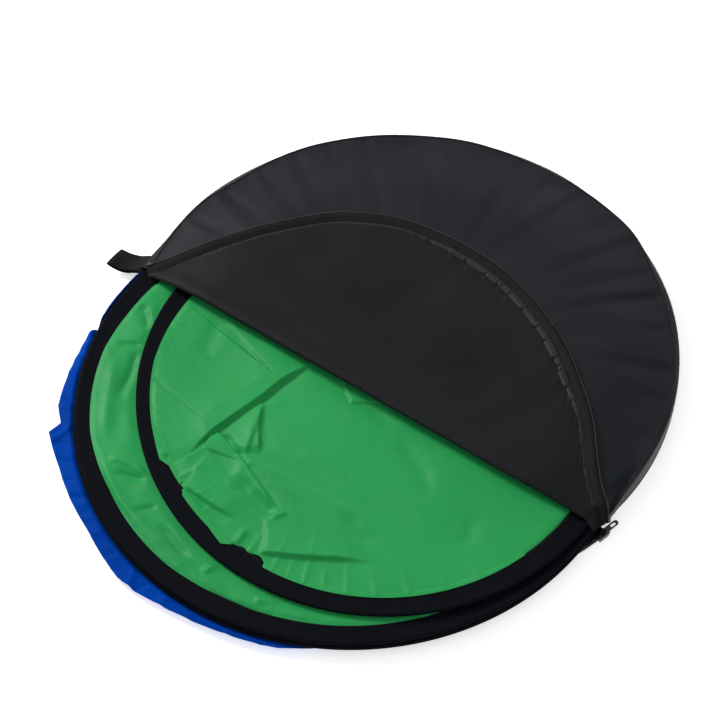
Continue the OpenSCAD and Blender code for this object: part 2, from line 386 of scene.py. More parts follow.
class Shader:
    """Wires one procedural material."""

    def __init__(self, name):
        self.material = bpy.data.materials.new(name)
        self.material.use_nodes = True
        self.tree = self.material.node_tree
        self.tree.nodes.clear()
        out = self.add("OutputMaterial")
        self.main = self.add("BsdfPrincipled")
        self.link(self.main.outputs[0], out.inputs[0])
        self.place = self.add("TexCoord")

    def link(self, a, b):
        self.tree.links.new(a, b)

    def add(self, kind, sources=(), **values):
        """A new node, with inputs set by name and (socket, input) pairs linked."""
        node = self.tree.nodes.new("ShaderNode" + kind)
        for name, value in values.items():
            node.inputs[name.replace("_", " ")].default_value = value
        for socket, entry in sources:
            self.link(socket, node.inputs[entry])
        return node

    def turned(self, source, degrees):
        rotation = (0, 0, math.radians(degrees))
        return self.add("Mapping", [(self.place.outputs[source], 0)], Rotation=rotation).outputs[0]

    def noise(self, where, scale, detail):
        return self.add("TexNoise", [(where, "Vector")], Scale=scale, Detail=detail).outputs["Fac"]

    def bands(self, where, pitch, direction, wobble):
        """Parallel threads with the given pitch in metres."""
        scale = math.pi / 10 / pitch
        node = self.add("TexWave", [(where, "Vector")], Scale=scale, Distortion=wobble, Detail_Scale=2.0)
        node.bands_direction = direction
        return node.outputs["Fac"]

    def math(self, kind, a, b):
        node = self.add("Math")
        node.operation = kind
        for value, socket in ((a, node.inputs[0]), (b, node.inputs[1])):
            if isinstance(value, (int, float)):
                socket.default_value = value
            else:
                self.link(value, socket)
        return node.outputs[0]

    def ramp(self, factor, low, high, dark, light):
        node = self.add("ValToRGB", [(factor, 0)])
        node.color_ramp.elements[0].position = low
        node.color_ramp.elements[1].position = high
        node.color_ramp.elements[0].color = (*dark, 1)
        node.color_ramp.elements[1].color = (*light, 1)
        return node.outputs[0]

    def span(self, factor, low, high):
        return self.add("MapRange", [(factor, "Value")], To_Min=low, To_Max=high).outputs["Result"]

    def bump(self, height, distance, strength, under=None):
        sources = [(height, "Height")]
        if under is not None:
            sources.append((under, "Normal"))
        return self.add("Bump", sources, Distance=distance, Strength=strength).outputs[0]

    def set(self, **values):
        for name, value in values.items():
            self.main.inputs[name.replace("_", " ")].default_value = value


def cloth(name, dark, light, pitch, rough, sheen=0.0, tint=(1, 1, 1), specular=0.3, depth=0.00012,
          turn=0.0, source="Object", blotch=9.0):
    """Plain-woven cloth: threads both ways, uneven dye, and a roughness that follows both."""
    s = Shader(name)
    where = s.turned(source, turn)
    warp = s.bands(where, pitch, "X", 0.6)
    weft = s.bands(where, pitch, "Y", 0.6)
    weave = s.math("MULTIPLY", warp, weft)
    dye = s.noise(where, blotch, 4.0)
    fleck = s.noise(where, 900.0, 2.0)
    tone = s.math("ADD", s.math("MULTIPLY", dye, 0.75), s.math("MULTIPLY", fleck, 0.25))
    s.link(s.ramp(tone, 0.34, 0.66, dark, light), s.main.inputs["Base Color"])
    s.link(s.span(fleck, rough - 0.05, rough + 0.05), s.main.inputs["Roughness"])
    low = s.bump(s.noise(where, 140.0, 3.0), 0.0006, 0.16)
    s.link(s.bump(weave, depth, 0.55, low), s.main.inputs["Normal"])
    s.set(Specular_IOR_Level=specular, Sheen_Weight=sheen, Sheen_Roughness=0.45, Sheen_Tint=(*tint, 1))
    return s.material


def ribbed(name, dark, light, pitch, rough, depth=0.0002, specular=0.3, cross=2.6):
    """Tape or webbing: ribs along its length, crossed by finer threads."""
    s = Shader(name)
    where = s.turned("UV", 0)
    ribs = s.bands(where, pitch, "Y", 0.3)
    threads = s.bands(where, pitch / cross, "X", 0.3)
    woven = s.math("ADD", s.math("MULTIPLY", ribs, 0.7), s.math("MULTIPLY", threads, 0.3))
    wear = s.noise(where, 60.0, 5.0)
    tone = s.math("ADD", s.math("MULTIPLY", woven, 0.5), s.math("MULTIPLY", wear, 0.5))
    s.link(s.ramp(tone, 0.25, 0.8, dark, light), s.main.inputs["Base Color"])
    s.link(s.span(wear, rough - 0.07, rough + 0.07), s.main.inputs["Roughness"])
    s.link(s.bump(woven, depth, 0.8), s.main.inputs["Normal"])
    s.set(Specular_IOR_Level=specular)
    return s.material


def metal(name, dark, light, rough):
    """Plated or blackened metal with fine scratches and worn, duller patches."""
    s = Shader(name)
    where = s.turned("Object", 20)
    wear = s.noise(where, 300.0, 4.0)
    scratch = s.noise(where, 2500.0, 2.0)
    s.link(s.ramp(wear, 0.35, 0.7, dark, light), s.main.inputs["Base Color"])
    s.link(s.span(wear, rough - 0.08, rough + 0.14), s.main.inputs["Roughness"])
    s.link(s.bump(scratch, 0.00003, 0.4), s.main.inputs["Normal"])
    s.set(Metallic=1.0)
    return s.material


CASE = cloth("case_cloth", (0.0040, 0.0058, 0.0085), (0.0075, 0.0095, 0.0125), 0.0006, 0.42,
             sheen=0.005, tint=(0.75, 0.85, 1.0), specular=0.135, turn=27)
LINING = cloth("lining_cloth", (0.0042, 0.0048, 0.0060), (0.0080, 0.0086, 0.0102), 0.0005, 0.45,
               sheen=0.004, specular=0.09, turn=10)
GREEN = cloth("green_cloth", (0.0130, 0.2500, 0.0600), (0.0190, 0.2950, 0.0760), 0.0004, 0.40,
              sheen=0.01, specular=0.13, depth=0.00006, turn=35, blotch=5.0)
BLUE = cloth("blue_cloth", (0.0000, 0.0340, 0.2600), (0.0004, 0.0540, 0.3700), 0.0004, 0.50,
             sheen=0.0, specular=0.012, depth=0.00006, turn=-20, blotch=7.0)
HEM = cloth("hem_cloth", (0.0080, 0.0085, 0.0105), (0.0160, 0.0165, 0.0200), 0.0005, 0.42,
            sheen=0.0, specular=0.16, turn=10)
BINDING = ribbed("rim_binding_knit", (0.0020, 0.0026, 0.0042), (0.0040, 0.0048, 0.0072), 0.0012, 0.72,
                 specular=0.04)
TAPE = ribbed("zip_tape_weave", (0.0024, 0.0026, 0.0018), (0.0075, 0.0078, 0.0056), 0.0013, 0.55,
              specular=0.10)
WEBBING = ribbed("webbing_weave", (0.0050, 0.0052, 0.0045), (0.0130, 0.0130, 0.0115), 0.0017, 0.68,
                 depth=0.0003, specular=0.08, cross=1.2)
CORD = cloth("piping_cloth", (0.0035, 0.0038, 0.0045), (0.0070, 0.0075, 0.0085), 0.0005, 0.5, specular=0.16)
COIL = cloth("zip_coil_nylon", (0.0060, 0.0060, 0.0055), (0.0140, 0.0140, 0.0120), 0.0008, 0.36,
             specular=0.3)
THREAD = cloth("thread_black", (0.0040, 0.0042, 0.0050), (0.0090, 0.0092, 0.0100), 0.0003, 0.5)
GUNMETAL = metal("slider_black_metal", (0.035, 0.035, 0.037), (0.16, 0.16, 0.16), 0.30)
STEEL = metal("hoop_spring_steel", (0.36, 0.37, 0.39), (0.55, 0.56, 0.58), 0.32)
STOPS = metal("stop_nickel", (0.05, 0.05, 0.053), (0.14, 0.14, 0.14), 0.42)


# ---------------------------------------------------------------- case

def seam_radius(angle):
    """The table's radius, averaged over five degrees so that no corner shows."""
    spread = [read_off(angle + d, SEAM_RADII) for d in (-2.5, -1.2, 0, 1.2, 2.5)]
    return sum(spread) / len(spread)


def seam_height(angle):
    """The top seam is level round the rear and comes down towards both ends of the mouth."""
    right = (SEAM_Z - RIGHT_END_Z) * smooth((RIGHT_DROP_A - angle) / (RIGHT_DROP_A - SEAM_END))
    left = (SEAM_Z - LEFT_END_Z) * smooth((angle - LEFT_DROP_A) / (SEAM_START - LEFT_DROP_A))
    lumps = 0.5 * np.sin(np.radians(angle) * 9) + 0.4 * np.sin(np.radians(angle) * 17 + 1)
    return SEAM_Z - right - left + lumps * smooth((angle + 12) / 12) * smooth((192 - angle) / 12)


def seam_path(count, first=SEAM_START, last=SEAM_END):
    angle = np.linspace(first, last, count)
    return ring(seam_radius(angle), angle, seam_height(angle))


# Puckers that run inward from the top seam: angle, depth, length, width
PUCKERS = [(8, 1.4, 60, 9), (19, 1.0, 50, 7), (27, 1.8, 95, 10), (38, 1.2, 60, 8), (47, 2.2, 110, 9),
           (54, 1.4, 60, 7), (63, 2.0, 120, 11), (71, 1.2, 50, 8), (80, 1.9, 90, 9), (88, 1.3, 70, 7),
           (96, 2.4, 130, 10), (106, 1.4, 60, 9), (114, 2.2, 110, 9), (124, 1.2, 60, 8),
           (133, 2.4, 120, 11), (141, 1.4, 55, 7), (149, 2.0, 100, 10), (158, 1.6, 70, 8),
           (168, 2.2, 90, 10), (178, 1.4, 60, 8)]


def top_height(x, y):
    """Height of the top panel: a drum over the folded disc, drawn down to the seam, with soft wrinkles."""
    rho = np.hypot(x, y)
    angle = (np.degrees(np.arctan2(y, x)) + 90) % 360 - 90
    edge = seam_radius(angle)
    share = rho / edge
    crown = SEAM_Z + (CROWN_Z - SEAM_Z) * (1 - smooth((share - 0.70) / 0.30) ** 1.1)
    wide = np.where(x < 0, 0.14, 0.045)
    drop = (SEAM_Z - seam_height(angle)) * smooth((share - 1 + wide) / wide)
    z = crown - drop
    inner = 1 - smooth((share - 0.88) / 0.12)
    z = z + 0.55 * ripple(x, y, 170, 3) * inner + 0.28 * ripple(x, y, 60, 5) * inner
    away = np.abs(edge - rho)
    for at, depth, length, width in PUCKERS:
        bend = 0.05 * away * math.sin(at)
        off = arc_length(angle - at, edge) + bend
        spread = width * (0.7 + 0.8 * away / length)
        fold = bell(off / spread) - 0.6 * bell((off - 1.7 * spread) / spread)
        z = z - 0.5 * depth * fold * bell(away / length) * (1 - np.exp(-away / 5))
    return z


def make_case_top():
    rows, columns = 460, 150
    u = np.linspace(0, 1, rows)
    v = np.linspace(0, 1, columns)
    seam = seam_path(rows)
    fold_x = mix(seam[0, 0], seam[-1, 0], 0.5 - 0.5 * np.cos(np.pi * u))
    x = mix(fold_x[:, None], seam[:, 0:1], v[None])
    y = mix(FOLD_Y, seam[:, 1:2], v[None])
    grid = np.stack([x, y, top_height(x, y)], -1)
    piece = grid_piece("case_shell_top", grid[::-1], CASE)
    thicken(piece, CLOTH_T)
    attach(piece, "case")
    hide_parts("case_top_panel")


def wall_radius(angle):
    """The wall is round, and stands straight where it runs forward beside the mouth."""
    clear = WALL_CLEAR_X / np.maximum(np.abs(np.cos(np.radians(angle))), 0.2)
    return np.where((angle < 0) | (angle > 180), np.maximum(WALL_R, clear), WALL_R)


def make_case_wall():
    rows = 620
    angle = np.linspace(SEAM_START - 1.2, SEAM_END + 1.7, rows)
    shares = np.array([0, 0.06, 0.15, 0.26, 0.38, 0.5, 0.62, 0.74, 0.84, 0.9, 0.96, 1.0])
    top_r = seam_radius(angle)
    top_z = seam_height(angle)
    mid_r = wall_radius(angle)
    ends = np.maximum(smooth((-9.5 - angle) / 4), smooth((angle - 189.7) / 4))
    low_z = 1.4 + 8.6 * ends
    low_r = np.maximum(BOTTOM_R, (mid_r - 1.0) * ends)
    grid = np.zeros((rows, len(shares), 3))
    for k, share in enumerate(shares):
        z = mix(low_z, top_z, share)
        up = smooth((share - 0.90) / 0.10)
        down = smooth((0.2 - share) / 0.2)
        radius = mix(mid_r, low_r, down)
        radius = mix(radius, top_r, up)
        ease = math.sin(math.pi * share)
        pucker = 0.45 * np.sin(angle * 2.1 + 2 * share) + 0.35 * np.sin(angle * 5.3 + 1)
        radius = radius + np.abs(pucker) * ease
        grid[:, k] = ring(radius, angle, z)
    piece = grid_piece("case_shell_wall", grid, CASE)
    thicken(piece, CLOTH_T, 0.0)
    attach(piece, "case")
    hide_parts("case_side_wall")


def disc_grid(radius, count):
    """Square grid of places warped onto a round outline; radius may depend on the angle in degrees."""
    line = np.linspace(-1, 1, count)
    u, v = np.meshgrid(line, line, indexing="ij")
    x = u * np.sqrt(1 - v * v / 2)
    y = v * np.sqrt(1 - u * u / 2)
    share = np.hypot(x, y)
    angle = np.degrees(np.arctan2(y, x)) % 360
    reach = radius(angle) if callable(radius) else radius
    return x * reach, y * reach, share, angle


def make_case_bottom():
    x, y, share, _ = disc_grid(BOTTOM_R, 150)
    z = 1.45 + 0.3 * ripple(x, y, 120, 11) * (1 - share ** 4)
    piece = grid_piece("case_shell_bottom", np.stack([x, y, z], -1), LINING)
    piece.data.materials.append(CASE)
    thicken(piece, 1.0)
    paint_underside(piece)
    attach(piece, "case")
    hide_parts("case_bottom_panel")


def paint_underside(piece):
    """The outer face of a lined panel takes the second material."""
    for face in piece.data.polygons:
        if face.normal.z < -0.3:
            face.material_index = 1


def make_seam_cords():
    top = seam_path(620, SEAM_START - 0.8, SEAM_END + 0.3)
    top[:, 2] += 0.2
    out = top.copy()
    flat = np.hypot(top[:, 0], top[:, 1])
    out[:, :2] *= ((flat + 1.0) / flat)[:, None]
    upper = sweep("seam_top_cord", out, round_section(CORD_R, 8), CORD)
    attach(upper, "case")
    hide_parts("top_seam_piping")
    low = ring(BOTTOM_R + 1.4, np.linspace(189.5, -9.5, 560), 1.9)
    lower = sweep("seam_bottom_cord", low, round_section(CORD_R, 8), CORD)
    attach(lower, "case")
    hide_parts("bottom_seam_piping")


def make_lower_zip():
    """The half of the zip on the bottom panel: its tape, from (radius, height) rows, and its teeth."""
    angle = np.linspace(192.3, 347.7, 420)
    rows = [(302.5, 1.9), (306, 2.0), (309, 1.9), (312, 2.1), (315, 2.6), (317.0, 2.9),
            (317.0, 3.5), (315, 3.3), (312, 2.9), (309, 2.7), (306, 2.8), (302.5, 2.6)]
    grid = np.stack([ring(radius, angle, z) for radius, z in rows], 1)
    grid[..., 2] += 0.15 * np.sin(angle * 1.7)[:, None]
    tape = grid_piece("lower_zip_tape_cloth", grid, TAPE, wrap_columns=True)
    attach(tape, "case")
    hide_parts("lower_zip_tape")
    coil = ring(COIL_R, np.linspace(192.6, 347.4, 900), COIL_Z)
    teeth = links("lower_zip_teeth", coil, TOOTH_EVERY, [1.1, 2.5, 2.3], COIL, slant=0.25)
    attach(teeth, "case")
    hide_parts("lower_zip_coil")


# ---------------------------------------------------------------- flap

def flap_height(x, y):
    """The open flap lies on the top panel and is slightly slack."""
    ease = smooth((y - NOSE_Y) / 30)
    slack = 0.42 * ripple(x, y, 140, 21) + 0.2 * ripple(x, y, 45, 22)
    roll = 1.2 * bell((y - NOSE_Y - 9) / 9)
    return top_height(x, np.maximum(y, FOLD_Y)) + FLAP_LIFT + roll + slack * ease


def edge_line(count):
    """The flap's zip edge, laid on the case."""
    flat = spline(FLAP_EDGE, count)
    return np.column_stack([flat, flap_height(flat[:, 0], flat[:, 1])])


def fold_line(x):
    """The fold is nearly straight, and sags forward a little beyond the middle."""
    return NOSE_Y + 3.0 * (x / 300) ** 2 - 2.0 * bell((x - 200) / 90)


def make_flap():
    rows, columns = 420, 150
    edge = spline(FLAP_EDGE, rows)
    u = np.linspace(0, 1, rows)
    fold_x = mix(edge[0, 0], edge[-1, 0], 0.5 - 0.5 * np.cos(np.pi * u))
    v = np.linspace(0, 1, columns) ** 1.35
    nose_y = fold_line(fold_x)
    x = mix(fold_x[:, None], edge[:, 0:1], v[None])
    y = mix(nose_y[:, None], edge[:, 1:2], v[None])
    z = flap_height(x, y)
    z = z - NOSE_DROP * (1 - rounded((y - nose_y[:, None]) / 5.0))
    grid = np.stack([x, y, z], -1)
    near = np.exp(-np.linalg.norm(grid - grid[:, -1:, :], axis=2) / 14)
    grid[..., 2] += near * edge_gather(rows)[:, None]
    piece = grid_piece("flap_cloth", grid[::-1], LINING)
    piece.data.materials.append(CASE)
    thicken(piece, 0.8)
    paint_underside(piece)
    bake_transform(piece)
    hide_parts("flap_panel")


def edge_gather(count):
    """How the zip draws the flap's edge up: slight on the left, strong from the middle to the right."""
    way = np.linspace(0, 1, count)
    strength = smooth((way - 0.35) / 0.15) * smooth((1 - way) / 0.06)
    wave = np.sin(way * 260 + 3 * np.sin(way * 31)) + 0.6 * np.sin(way * 410)
    return 0.5 * strength * wave


def make_fold_strip():
    """The few millimetres of cloth that run from the case's top panel round into the flap."""
    rows = 380
    x = np.linspace(-281, 290, rows)
    nose = fold_line(x)
    top = top_height(x, np.full(rows, FOLD_Y))
    end = flap_height(x, nose) - NOSE_DROP
    ways = np.linspace(0, 1, 12)
    grid = np.zeros((rows, len(ways), 3))
    for k, way in enumerate(ways):
        bow = math.sin(math.pi * way) * 0.9
        grid[:, k, 0] = x
        grid[:, k, 1] = mix(FOLD_Y, nose, math.sin(way * math.pi / 2))
        grid[:, k, 2] = mix(top, end, 1 - math.cos(way * math.pi / 2)) - bow * 0.3
    piece = grid_piece("flap_fold_strip", grid, CASE)
    thicken(piece, 0.8, 0.0)
    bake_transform(piece)


def make_flap_zip():
    """The half of the zip that is sewn to the flap: its tape stands out past the flap's edge."""
    count = 1500
    edge = edge_line(count)
    way = np.linspace(0, 1, count)
    rise = smooth(way / 0.04) * smooth((1 - way) / 0.03)
    across = np.array([(-1.5, 0.4), (1, 1.0), (3.5, 1.9), (6, 2.7), (8.5, 3.1), (11, 3.0), (11, 2.3),
                       (8.5, 2.4), (6, 2.0), (3.5, 1.2), (1, 0.3), (-1.5, -0.3)])
    shape = np.repeat(across[None], count, axis=0)
    shape[..., 1] *= mix(0.6, 1.0, rise)[:, None]
    tape = sweep("flap_tape_cloth", edge[::-1], shape, TAPE)
    ride_flap_edge(tape)
    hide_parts("flap_zip_tape")
    outer = edge + outward(edge) * FLAP_COIL_OUT + np.array([0, 0, FLAP_COIL_LIFT])
    coil = sweep("flap_zip_core", outer, round_section(0.8, 6), COIL)
    ride_flap_edge(coil)
    teeth = links("flap_zip_teeth", outer, TOOTH_EVERY, [1.1, 2.3, 1.9], COIL, slant=0.25)
    ride_flap_edge(teeth)
    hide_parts("flap_zip_coil")
    make_flap_stops(outer)
    make_hem(edge)


def outward(edge):
    """Level directions that point away from the flap's cloth, square to its edge."""
    side = frames_along(edge)[1]
    centre = np.array([0.0, -60.0, 0.0])
    facing = np.sign(((edge - centre) * side).sum(axis=1))
    return side * facing[:, None]


def ride_flap_edge(piece):
    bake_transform(piece)


def make_flap_stops(outer):
    """A small clamp on each end of the flap's coil."""
    for number, first in enumerate((6, len(outer) - 14)):
        clamp = sweep(f"flap_stop_{number + 1}", outer[first:first + 8], round_section(1.9, 10), STOPS)
        ride_flap_edge(clamp)
        if number == 0:
            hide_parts("flap_zip_stops")


def make_hem(edge):
    """The gathered hem inside the tape: short ruffled folds with gaps between them."""
    count = len(edge)
    way = np.linspace(0, 1, count)
    inward = -outward(edge)
    dice = np.random.RandomState(8)
    starts = [0.02]
    while starts[-1] < 0.985:
        starts.append(starts[-1] + dice.choice([0.009, 0.016, 0.026, 0.036]) * dice.uniform(0.8, 1.2))
    starts = np.array(starts)
    index = np.clip(np.searchsorted(starts, way, side="right") - 1, 0, len(starts) - 2)
    inside = np.clip((way - starts[index]) / (starts[index + 1] - starts[index]), 0, 1)
    swell = np.sqrt(np.clip(1 - (2 * inside - 1) ** 10, 0, 1))
    size = dice.uniform(0.6, 1.25, len(starts))[index]
    fullness = mix(0.25, 1.0, smooth((way - 0.42) / 0.10)) * mix(1, 0.4, smooth((way - 0.74) / 0.12))
    strength = fullness * smooth((1 - way) / 0.04) * smooth(way / 0.03)
    width = 3.0 + 5.4 * swell * size * strength
    tall = 0.5 + 1.5 * swell * strength * size
    across = ((-0.15, 0.3), (0.12, 0.75), (0.4, 1.0), (0.7, 0.9), (0.9, 0.55), (1.0, 0.1), (0.96, -0.2))
    rows = []
    for share, lift in across:
        point = edge + inward * (width * share)[:, None]
        point = point + np.stack([np.zeros(count), np.zeros(count), 0.25 + tall * lift], 1)
        rows.append(point)
    hem = grid_piece("flap_gathered_hem", np.stack(rows, 1)[::-1], HEM)
    thicken(hem, 0.5)
    ride_flap_edge(hem)
    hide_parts("flap_hem")


# ---------------------------------------------------------------- handle

def make_handle():
    """Webbing folded back on itself; it droops a little and its far end is creased flat."""
    upper = [(-301, 18.2), (-306, 18.6), (-311, 17.0), (-316.3, 14.2), (-322, 12.6), (-328, 12.6),
             (-334, 13.6), (-339, 15.0), (-343, 15.4)]
    lower = [(-344.6, 14.0), (-343, 12.0), (-338, 10.2), (-332, 8.0), (-326, 7.0), (-320, 7.8),
             (-316.0, 9.8), (-310, 12.6), (-305, 14.8), (-301.5, 16.0)]
    line = spline(upper + lower, 120)
    across = np.linspace(-0.5, 0.5, 15)
    way = np.linspace(0, 1, len(line))
    grid = np.zeros((len(line), len(across), 3))
    for k, share in enumerate(across):
        skew = 1.2 * share * np.sin(way * np.pi)
        grid[:, k, 0] = line[:, 0] + skew
        grid[:, k, 1] = HANDLE_Y + WEB_W * share - 9.0 * smooth((-line[:, 0] - 306) / 40)
        grid[:, k, 2] = line[:, 1] - 0.9 * (2 * share) ** 2 * np.sin(way * np.pi)
    piece = grid_piece("handle_loop_webbing", grid, WEBBING)
    thicken(piece, 1.3, 0.0)
    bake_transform(piece)
    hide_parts("handle_webbing", "handle_anchor_patch")
    box = np.array([(-318.8, -11.5), (-324.5, -12.5), (-324.5, 5.5), (-318.8, 6.5), (-318.8, -11.5)], float)
    corners = [(x, HANDLE_Y + y, np.interp(-x, [318.8, 324.5], [13.95, 13.1])) for x, y in box]
    fine = np.vstack([np.linspace(corners[i], corners[i + 1], 12, endpoint=False) for i in range(4)])
    stitches = links("handle_thread", fine, 1.6, [1.2, 0.5, 0.5], THREAD)
    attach(stitches, "handle")
    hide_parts("handle_stitching")


# ---------------------------------------------------------------- hoop and rim

def upper_outer(angle):
    """Outer radius of the upper loop, about the disc's centre, by angle in degrees."""
    turn = np.radians(angle) - UPPER_SHIFT_A
    return UPPER_R + UPPER_SHIFT * np.cos(turn) - UPPER_OVAL * np.cos(2 * turn)


def loop_radius(turn, angle):
    """Radius of one of the hoop's three loops, lower, middle and upper, at its centre line."""
    if turn == 0:
        return np.full(np.shape(angle), LOWER_PATH)
    if turn == 1:
        return np.full(np.shape(angle), MIDDLE_PATH)
    return upper_outer(angle) - BAND_W / 2


def hoop_path(per_turn):
    """Centre line of the sleeve through its three turns, and each point's turn and angle."""
    entry = [TUCK_R, MIDDLE_PATH, MIDDLE_PATH]
    leave = [MIDDLE_PATH, MIDDLE_PATH, TUCK_R]
    points, turns, angles = [], [], []
    for j in range(3):
        p = np.arange(per_turn) * 360 / per_turn
        own = loop_radius(j, p + 90)
        radius = np.where(p < 180, mix(entry[j], own, smooth((p - 10) / 40)),
                          mix(leave[j], own, smooth((350 - p) / 40)))
        height = np.where(p < 180, mix(LEVELS[(j + 2) % 3], LEVELS[j], smooth((p + 15) / 30)),
                          mix(LEVELS[j], LEVELS[(j + 1) % 3], smooth((p - 345) / 30)))
        points.append(ring(radius, p + 90, height) + [0, DISC_Y, 0])
        turns.append(np.full(per_turn, j))
        angles.append((p + 90) % 360)
    return np.vstack(points), np.concatenate(turns), np.concatenate(angles)


def window(angle, first, last, soft):
    """1 between two angles and 0 outside them, with soft edges."""
    return smooth((angle - first) / soft) * smooth((last - angle) / soft)


def make_rim():
    per_turn = 480
    path, turns, angles = hoop_path(per_turn)
    count = len(path)
    radial = np.stack([path[:, 0], path[:, 1] - DISC_Y, np.zeros(count)], 1)
    radial = radial / np.linalg.norm(radial, axis=1)[:, None]
    section = np.array([(-12.5, 0.0), (-12.3, 0.7), (-9, 1.0), (-4, 1.0), (1, 1.15), (5, 1.7), (8, 2.35),
                        (10, 2.5), (11.6, 1.9), (12.3, 0.8), (12.4, 0.0), (12.3, -0.8), (11.6, -1.9),
                        (10, -2.5), (8, -2.35), (5, -1.7), (1, -1.15), (-4, -1.0), (-9, -1.0),
                        (-12.3, -0.7)])
    way = np.arange(count) * TURN_LENGTH / per_turn
    slack = 0.35 * np.sin(way / 17) + 0.3 * np.sin(way / 7.3 + 2) + 0.25 * np.sin(way / 41 + 1)
    # Between 269 and 283 degrees on the upper loop, the band's inner edge reaches up to 7.5 mm further in.
    # There the cloth draws back, and the band's dark binding fills the dark gap: partly the band's own dark
    # underside, partly painted shade. The stitch line follows it in.
    shaded_gap_fill = 7.5 * window(angles, 269, 283, 4) * (turns == 2)
    inner = smooth((-section[:, 0] - 2) / 10)
    out = section[None, :, 0] + inner[None] * (slack[:, None] * 0.8 - shaded_gap_fill[:, None])
    sag = 0.25 * np.sin(way / 13 + 1) + 0.2 * np.sin(way / 5.1)
    up = section[None, :, 1] + inner[None] * sag[:, None] * 0.6
    grid = path[:, None] + out[..., None] * radial[:, None] + up[..., None] * np.array([0, 0, 1.0])
    piece = grid_piece("rim_binding", grid[::-1], BINDING, wrap_rows=True, wrap_columns=True)
    set_uv(piece.data, uv_grid(way[::-1], running_length(section)))
    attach(piece, "disc")
    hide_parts("rim_sleeve")
    seam = path + radial * (-9.6 + slack * 0.6 - shaded_gap_fill * 0.7)[:, None] + np.array([0, 0, 1.15])
    thread = links("rim_thread", seam, 3.4, [2.5, 0.6, 0.45], THREAD)
    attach(thread, "disc")
    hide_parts("rim_stitching")


# ---------------------------------------------------------------- green cloth

# How far the upper cloth bulges out over the loop's inner edge, by angle; below zero it draws back
BULGE = [(0, 0), (150, 0), (175, 1), (188, 5), (200, 8), (228, 8), (235, 9), (238, 2), (247, 0), (249, 4),
         (262, 3), (268, 7), (271, -1), (280, -6), (281.5, 2), (300, 2), (330, 1), (360, 0)]

# Folds of the upper cloth, about the disc's centre: line, height, soft width, sharp width, high side,
# and the shares of the line over which they fade in and out
FOLDS = [
    ([(-60, 34), (-80, -20), (-86, -53), (-94, -84), (-101, -113), (-104, -135), (-106, -160)],
     5.6, 48, 1.7, -1, 0.35, 0.3),
    ([(-101, -114), (-66, -125), (-30, -141), (24, -163)], 4.6, 11, 1.8, -1, 0.12, 0.3),
    ([(-85, -48), (-66, -82), (-43, -113)], 3.2, 15, 3.5, -1, 0.3, 0.15),
    ([(-75, -67), (-53, -126)], 2.2, 9, 3.0, -1, 0.4, 0.2),
    ([(-55, -126), (-9, -123), (73, -119), (149, -124)], 2.2, 26, 7, -1, 0.06, 0.6),
    ([(-53, -127), (-20, -131), (19, -136), (39, -129)], 1.6, 9, 4, -1, 0.1, 0.5),
    ([(-110, -180), (-94, -141), (-99, -116)], 3.0, 30, 1.8, -1, 0.3, 0.2),
    ([(-84, -192), (-62, -192), (-39, -193), (-10, -193)], 3.6, 22, 2.4, 1, 0.05, 0.35),
    ([(30, -213), (68, -193), (104, -171), (142, -150)], 3.6, 30, 2.8, 1, 0.08, 0.4),
]
# Round ridges, and valleys where the height is below zero: line, height, width, and the same two shares
PLEATS = [
    ([(-46, -146), (-20, -160), (20, -168)], -3.4, 9, 0.3, 0.2),
    ([(-90, -112), (-72, -121), (-55, -127)], -3.2, 5.5, 0.3, 0.2),
    ([(-189, 17), (-173, -33), (-168, -53)], -1.3, 11, 0.3, 0.4),
    ([(73, -119), (106, -136), (137, -134)], -1.6, 8, 0.3, 0.4),
    ([(6, -221), (3, -193)], 2.4, 4, 0.05, 0.5),
    ([(27, -156), (16, -174)], 1.8, 3.5, 0.3, 0.4),
    ([(-207, -84), (-200, -104), (-188, -122), (-170, -138)], -1.3, 4.5, 0.3, 0.3),
    ([(-140, -176), (-118, -168)], 2.4, 5, 0.1, 0.4),
    ([(-46, 5), (23, 7), (70, -6)], -1.8, 10, 0.4, 0.4),
    ([(60, -4), (120, -34), (150, -70)], -1.5, 9, 0.3, 0.4),
    ([(-140, 10), (-150, -40), (-140, -100)], -0.9, 30, 0.4, 0.4),
    ([(190, -40), (205, -90)], -1.3, 9, 0.4, 0.4),
    ([(110, -60), (180, -95)], 0.9, 16, 0.4, 0.4),
    ([(40, -60), (-20, -95)], 0.7, 14, 0.4, 0.4),
]
# Short puckers where the upper cloth meets the loop: angle, height, width, length
MOUND_PUCKERS = [(186, 1.2, 3, 20), (197, 1.0, 3, 16), (243, 1.3, 3, 18), (252, 1.5, 3.5, 22),
                 (257, 1.2, 3, 16), (276, 1.4, 3, 16), (284, 1.7, 3.2, 22), (288.5, 1.4, 2.8, 18),
                 (293, 1.8, 3.2, 26), (298, 1.4, 3, 18), (304, 1.6, 3.4, 24), (311, 1.2, 3.2, 20),
                 (319, 1.4, 3.6, 24), (328, 1.0, 3.4, 20), (336, 1.2, 3.6, 22)]


def back_limit(angle):
    """The cloth ends in front of the returning strand at the back."""
    return CLOTH_BACK / np.maximum(np.sin(np.radians(angle)), 1e-3)


def mound_radius(angle):
    """How far the upper cloth reaches: over the loop's inner edge, and under the strands at the back."""
    reach = upper_outer(angle) - BAND_W + 1.5 + read_off(angle, BULGE)
    rear = 278.0 + 4.5 * window(angle, 46, 90, 6)
    return mix(reach, rear, window(angle, 36, 144, 16))


